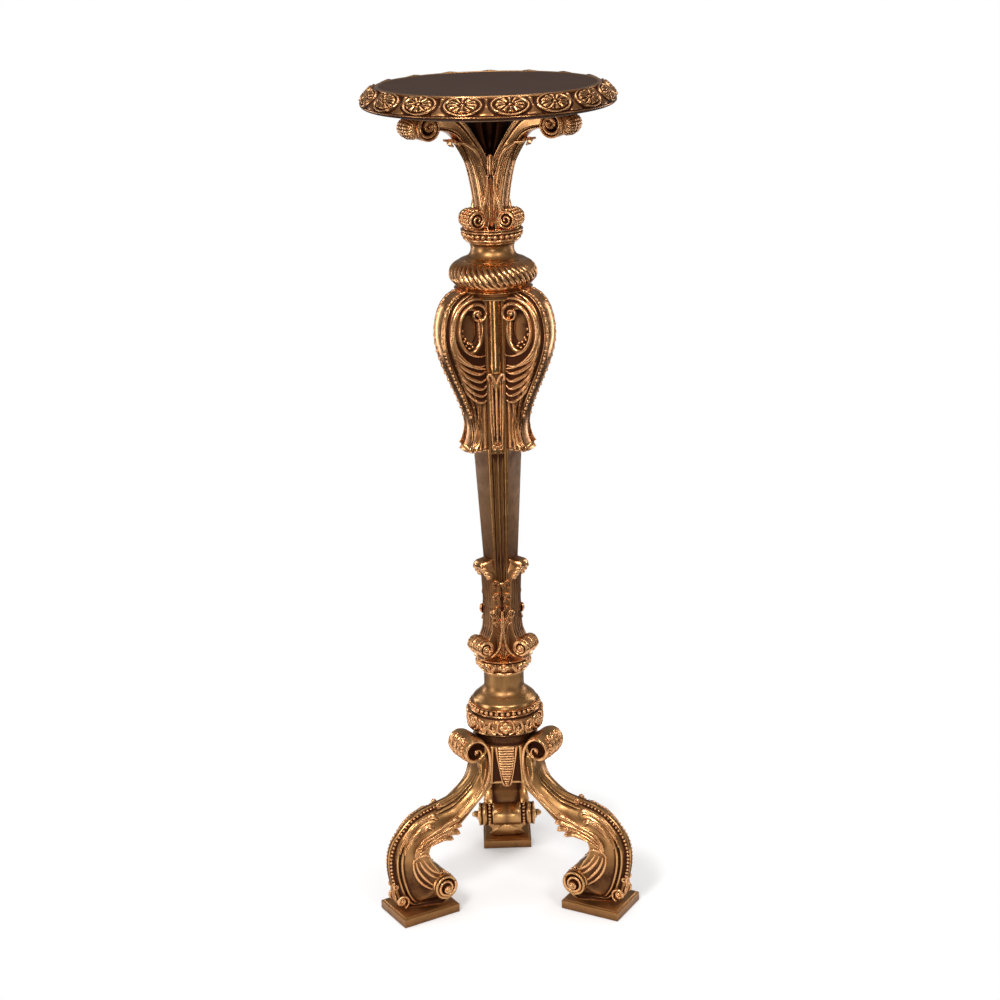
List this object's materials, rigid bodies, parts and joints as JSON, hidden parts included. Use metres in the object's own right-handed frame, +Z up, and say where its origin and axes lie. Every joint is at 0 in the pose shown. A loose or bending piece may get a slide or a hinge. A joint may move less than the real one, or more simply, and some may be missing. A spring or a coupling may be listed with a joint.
{
  "type": "torchere candle stand",
  "caption": "Tall three-legged candle stand with scrolled feet, a carved and gilded column, spreading brackets and a round top.",
  "frame": {"origin": "on the floor plane under the feet, in the middle of the stand's bounding box; the column's vertical axis is 16.5 mm ahead of it, at x 0, y -0.0165", "axes": "+Z up along the column; the rear foot points along +Y, so the two front feet are at 210 and 330 degrees and -Y is the front"},
  "size_m": [0.4152, 0.409, 1.3],
  "materials": {
    "gilding_plain": "turned wood with water gilding, burnished smooth",
    "gilding_burnished": "carved wood with burnished water gilding",
    "gilding_carved": "carved wood, gilded and toned brown in the hollows",
    "panel_lacquer": "dark brown lacquer, satin",
    "board_wood": "bare wood",
    "dowel_wood": "bare wood",
    "steel": "plain steel"
  },
  "bodies": {
    "root": {"plinth_left": "gilding_plain", "plinth_right": "gilding_plain", "plinth_rear": "gilding_plain", "leg_left": "gilding_burnished", "leg_right": "gilding_burnished", "leg_rear": "gilding_burnished", "hub": "gilding_burnished", "panel_front": "gilding_carved", "panel_right": "gilding_carved", "panel_left": "gilding_carved", "carved_band": "gilding_carved", "lower_bead_ring": "gilding_carved", "vase": "gilding_plain", "berry_collar": "gilding_carved", "shaft": "gilding_burnished", "pilaster_left": "gilding_carved", "pilaster_right": "gilding_carved", "pilaster_rear": "gilding_carved", "leaf_front": "gilding_carved", "leaf_right": "gilding_carved", "leaf_left": "gilding_carved", "console_left": "gilding_carved", "console_right": "gilding_carved", "console_rear": "gilding_carved", "husk_front": "gilding_carved", "husk_right": "gilding_carved", "husk_left": "gilding_carved", "gadroon_ring": "gilding_carved", "neck": "gilding_plain", "upper_bead_ring": "gilding_carved", "head_core": "gilding_carved", "arm_left": "gilding_carved", "arm_right": "gilding_carved", "arm_rear": "gilding_carved", "top_board": "board_wood", "rim_moulding": "gilding_carved", "inlay_fillet": "gilding_plain", "inlay_panel": "panel_lacquer", "plinth_screws": "steel", "leg_dowels": "dowel_wood", "tie_rod": "steel", "tie_nut": "steel", "console_dowels": "dowel_wood", "neck_dowel": "dowel_wood", "arm_dowels": "dowel_wood", "board_screws": "steel"}
  },
  "joints": []
}
